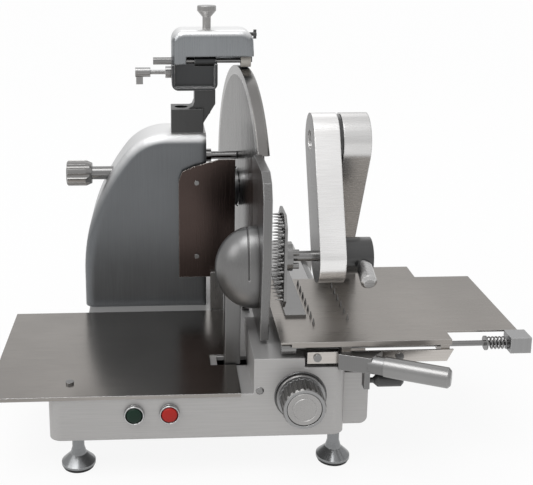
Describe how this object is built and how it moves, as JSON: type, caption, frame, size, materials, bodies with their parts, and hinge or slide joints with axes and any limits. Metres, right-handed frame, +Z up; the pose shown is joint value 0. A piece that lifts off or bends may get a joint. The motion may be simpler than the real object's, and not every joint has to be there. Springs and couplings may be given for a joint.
{
  "type": "food slicer",
  "caption": "Electric vertical food slicer: upright round blade in a ring guard, hand-pushed carriage with food table and toothed clamp arm, thickness knob, receiving tray and sharpener.",
  "frame": {"origin": "on the bench, under the middle of the machine's overall box", "axes": "+Z up, -Y towards the operator (the front panel with the buttons), +X to the right along the blade's axis"},
  "size_m": [0.6, 0.5033, 0.508],
  "materials": {
    "casing": "warm light grey paint, fine satin texture",
    "steel": "brushed stainless steel",
    "polished_cast": "polished cast aluminium",
    "cast_satin": "satin anodised aluminium",
    "dark_cast": "dark grey casting",
    "bronze_plate": "brown-grey brushed plate",
    "chrome_rim": "bright chrome",
    "blade_steel": "ground blade steel",
    "foot_grey": "dark grey enamel",
    "black_plastic": "black moulded plastic",
    "dark_plastic": "dark grey moulded plastic",
    "green_button": "green moulded plastic",
    "red_button": "red moulded plastic",
    "belt_rubber": "black rubber",
    "stone": "bonded abrasive",
    "bearing_steel": "ground bearing steel"
  },
  "bodies": {
    "root": {"base_casing": "casing", "underside_plate": "steel", "feet": "foot_grey", "button_switches": "chrome_rim", "receiving_tray": "steel", "gauge_rod": "bearing_steel", "drive_housing": "polished_cast", "housing_back_cover": "cast_satin", "blade_bearings": "bearing_steel", "motor": "foot_grey", "drive_belt": "belt_rubber", "ring_guard": "polished_cast", "blade_back_plate": "steel", "slice_deflector": "bronze_plate", "panel_screws": "steel", "deflector_bracket": "cast_satin", "guard_stay": "bearing_steel", "carriage_rails": "bearing_steel", "sharpener_bracket": "dark_cast", "cable_gland": "black_plastic"},
    "start_button": {"start_button": "green_button"},
    "stop_button": {"stop_button": "red_button"},
    "thickness_knob": {"thickness_knob": "black_plastic", "cam_shaft": "bearing_steel"},
    "gauge": {"gauge_plate": "polished_cast", "gauge_head": "cast_satin", "gauge_carrier": "cast_satin"},
    "blade": {"blade": "blade_steel", "blade_shaft": "bearing_steel"},
    "motor_rotor": {"motor_pulley": "bearing_steel"},
    "tie_rod": {"tie_rod": "bearing_steel", "tie_rod_knob": "cast_satin"},
    "carriage": {"carriage_saddle": "cast_satin", "rail_bushes": "bearing_steel", "carriage_front_plate": "steel", "front_plate_screws": "steel", "handle_block": "cast_satin", "carriage_grip": "cast_satin"},
    "carriage_lock": {"carriage_lock": "dark_plastic"},
    "food_table": {"food_table": "steel", "end_block": "foot_grey", "slide_rod": "bearing_steel", "stop_spring": "bearing_steel", "table_inserts": "steel", "arm_stand": "cast_satin"},
    "rear_link": {"rear_link": "polished_cast"},
    "front_link": {"front_link": "polished_cast", "elbow_washer": "black_plastic"},
    "food_clamp": {"clamp_plate": "steel", "clamp_spindle": "bearing_steel"},
    "clamp_lock": {"clamp_lock_knob": "black_plastic", "clamp_lever": "cast_satin"},
    "sharpener_post": {"sharpener_post": "bearing_steel"},
    "sharpener": {"sharpener_frame": "foot_grey", "sharpener_cover": "polished_cast", "sharpener_top_knob": "cast_satin"},
    "stone_spindle": {"stone_spindle": "bearing_steel"},
    "grinding_stone": {"grinding_stone": "stone"},
    "wing_screw": {"wing_screw": "cast_satin"},
    "cover_screw": {"cover_screw": "black_plastic"}
  },
  "joints": [
    {"name": "start_press", "type": "slide", "parent": "root", "child": "start_button", "axis": [0, 1, 0], "range_m": [0, 0.003], "stiffness_N_per_m": 500, "springref_m": -0.001},
    {"name": "stop_press", "type": "slide", "parent": "root", "child": "stop_button", "axis": [0, 1, 0], "range_m": [0, 0.003], "stiffness_N_per_m": 500, "springref_m": -0.001},
    {"name": "knob_turn", "type": "hinge", "parent": "root", "child": "thickness_knob", "pos_m": [0.046, -0.194, 0.098], "axis": [0, 1, 0], "range_deg": [-150, 150]},
    {"name": "gauge_slide", "type": "slide", "parent": "root", "child": "gauge", "axis": [-1, 0, 0], "range_m": [-0.007, 0.007]},
    {"name": "blade_spin", "type": "hinge", "parent": "root", "child": "blade", "pos_m": [0.008, 0.086, 0.262], "axis": [0.9962, 0.0872, 0], "continuous": true},
    {"name": "motor_spin", "type": "hinge", "parent": "root", "child": "motor_rotor", "pos_m": [0.00608, 0.10792, 0.16], "axis": [0.9962, 0.0872, 0], "continuous": true},
    {"name": "tie_rod_turn", "type": "hinge", "parent": "root", "child": "tie_rod", "pos_m": [0, 0.094, 0.281], "axis": [1, 0, 0], "range_deg": [0, 360]},
    {"name": "carriage_slide", "type": "slide", "parent": "root", "child": "carriage", "axis": [0, 1, 0], "range_m": [0, 0.25]},
    {"name": "carriage_lock_turn", "type": "hinge", "parent": "carriage", "child": "carriage_lock", "pos_m": [0.118, -0.2065, 0.1218], "axis": [1, 0, 0], "range_deg": [0, 180]},
    {"name": "table_slide", "type": "slide", "parent": "carriage", "child": "food_table", "axis": [1, 0, 0], "range_m": [0, 0.045]},
    {"name": "arm_tilt", "type": "hinge", "parent": "food_table", "child": "rear_link", "pos_m": [0.12, 0.011, 0.192], "axis": [1, 0, 0], "range_deg": [-25, 0]},
    {"name": "elbow_bend", "type": "hinge", "parent": "rear_link", "child": "front_link", "pos_m": [0.12, -0.064, 0.359], "axis": [1, 0, 0], "range_deg": [-80, 10]},
    {"name": "clamp_reach", "type": "slide", "parent": "front_link", "child": "food_clamp", "axis": [1, 0, 0], "range_m": [0, 0.02]},
    {"name": "clamp_lock_turn", "type": "hinge", "parent": "front_link", "child": "clamp_lock", "pos_m": [0.12, -0.124, 0.236], "axis": [1, 0, 0], "range_deg": [-60, 0]},
    {"name": "sharpener_lift", "type": "slide", "parent": "root", "child": "sharpener_post", "axis": [0, 0, 1], "range_m": [0, 0.035]},
    {"name": "sharpener_turn", "type": "hinge", "parent": "sharpener_post", "child": "sharpener", "pos_m": [-0.047, 0.088, 0.4], "axis": [0, 0, 1], "range_deg": [-100, 100]},
    {"name": "stone_press", "type": "slide", "parent": "sharpener", "child": "stone_spindle", "axis": [1, 0, 0], "range_m": [0, 0.008], "stiffness_N_per_m": 300, "springref_m": -0.002},
    {"name": "stone_spin", "type": "hinge", "parent": "stone_spindle", "child": "grinding_stone", "pos_m": [0, 0.069, 0.4375], "axis": [1, 0, 0], "continuous": true},
    {"name": "wing_screw_turn", "type": "hinge", "parent": "sharpener", "child": "wing_screw", "pos_m": [-0.1, 0.089, 0.42], "axis": [1, 0, 0], "range_deg": [-180, 180]},
    {"name": "cover_screw_turn", "type": "hinge", "parent": "sharpener", "child": "cover_screw", "pos_m": [0.016, 0.089, 0.47], "axis": [1, 0, 0], "range_deg": [-180, 180]}
  ],
  "couplings": [
    {"joint": "knob_turn", "follows": "gauge_slide", "rad_per_m": 374},
    {"joint": "motor_spin", "follows": "blade_spin", "ratio": 1.5556}
  ]
}
